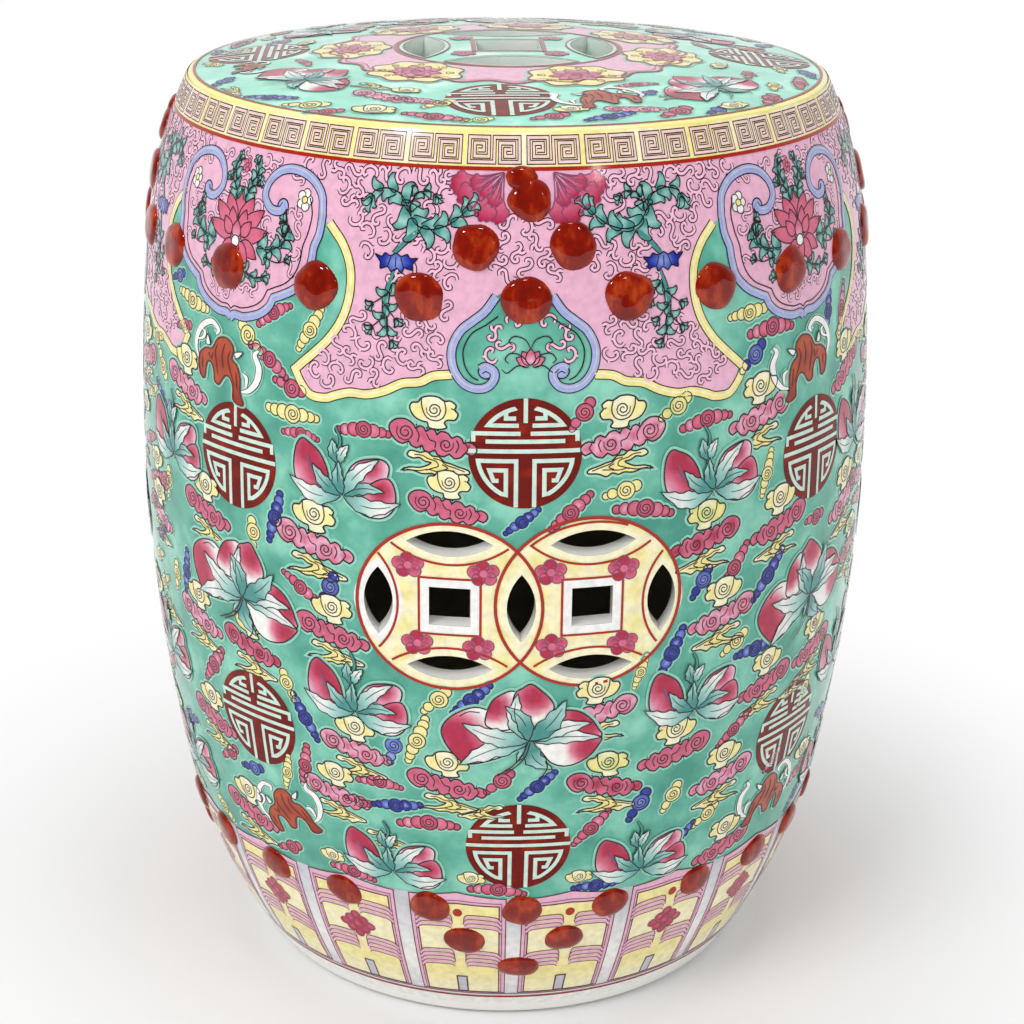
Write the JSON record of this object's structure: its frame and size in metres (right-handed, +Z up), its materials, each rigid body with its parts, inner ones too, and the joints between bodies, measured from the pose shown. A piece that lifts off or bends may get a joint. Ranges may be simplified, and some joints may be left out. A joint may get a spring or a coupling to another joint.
{
  "type": "garden stool",
  "caption": "Barrel-shaped glazed ceramic garden stool with a domed seat, pierced coin panels and rows of small bosses; a seat, side table or plant stand.",
  "frame": {"origin": "middle of the foot ring, on the floor", "axes": "+Z up along the barrel's axis; -Y points out of the front coin panel; +X to the right seen from the front"},
  "size_m": [0.3708, 0.3708, 0.4699],
  "materials": {
    "barrel_glaze": "painted turquoise glaze, glossy",
    "seat_glaze": "painted turquoise glaze, glossy",
    "boss_glaze": "iron-red glaze, glossy"
  },
  "bodies": {
    "root": {"barrel_wall": "barrel_glaze", "seat_slab": "seat_glaze", "upper_row_bosses_front": "boss_glaze", "upper_pair_bosses_front": "boss_glaze", "upper_peak_boss_front": "boss_glaze", "lower_row_bosses_front": "boss_glaze", "lower_pair_bosses_front": "boss_glaze", "lower_peak_boss_front": "boss_glaze", "upper_row_bosses_right": "boss_glaze", "upper_pair_bosses_right": "boss_glaze", "upper_peak_boss_right": "boss_glaze", "lower_row_bosses_right": "boss_glaze", "lower_pair_bosses_right": "boss_glaze", "lower_peak_boss_right": "boss_glaze", "upper_row_bosses_back": "boss_glaze", "upper_pair_bosses_back": "boss_glaze", "upper_peak_boss_back": "boss_glaze", "lower_row_bosses_back": "boss_glaze", "lower_pair_bosses_back": "boss_glaze", "lower_peak_boss_back": "boss_glaze", "upper_row_bosses_left": "boss_glaze", "upper_pair_bosses_left": "boss_glaze", "upper_peak_boss_left": "boss_glaze", "lower_row_bosses_left": "boss_glaze", "lower_pair_bosses_left": "boss_glaze", "lower_peak_boss_left": "boss_glaze"}
  },
  "joints": []
}
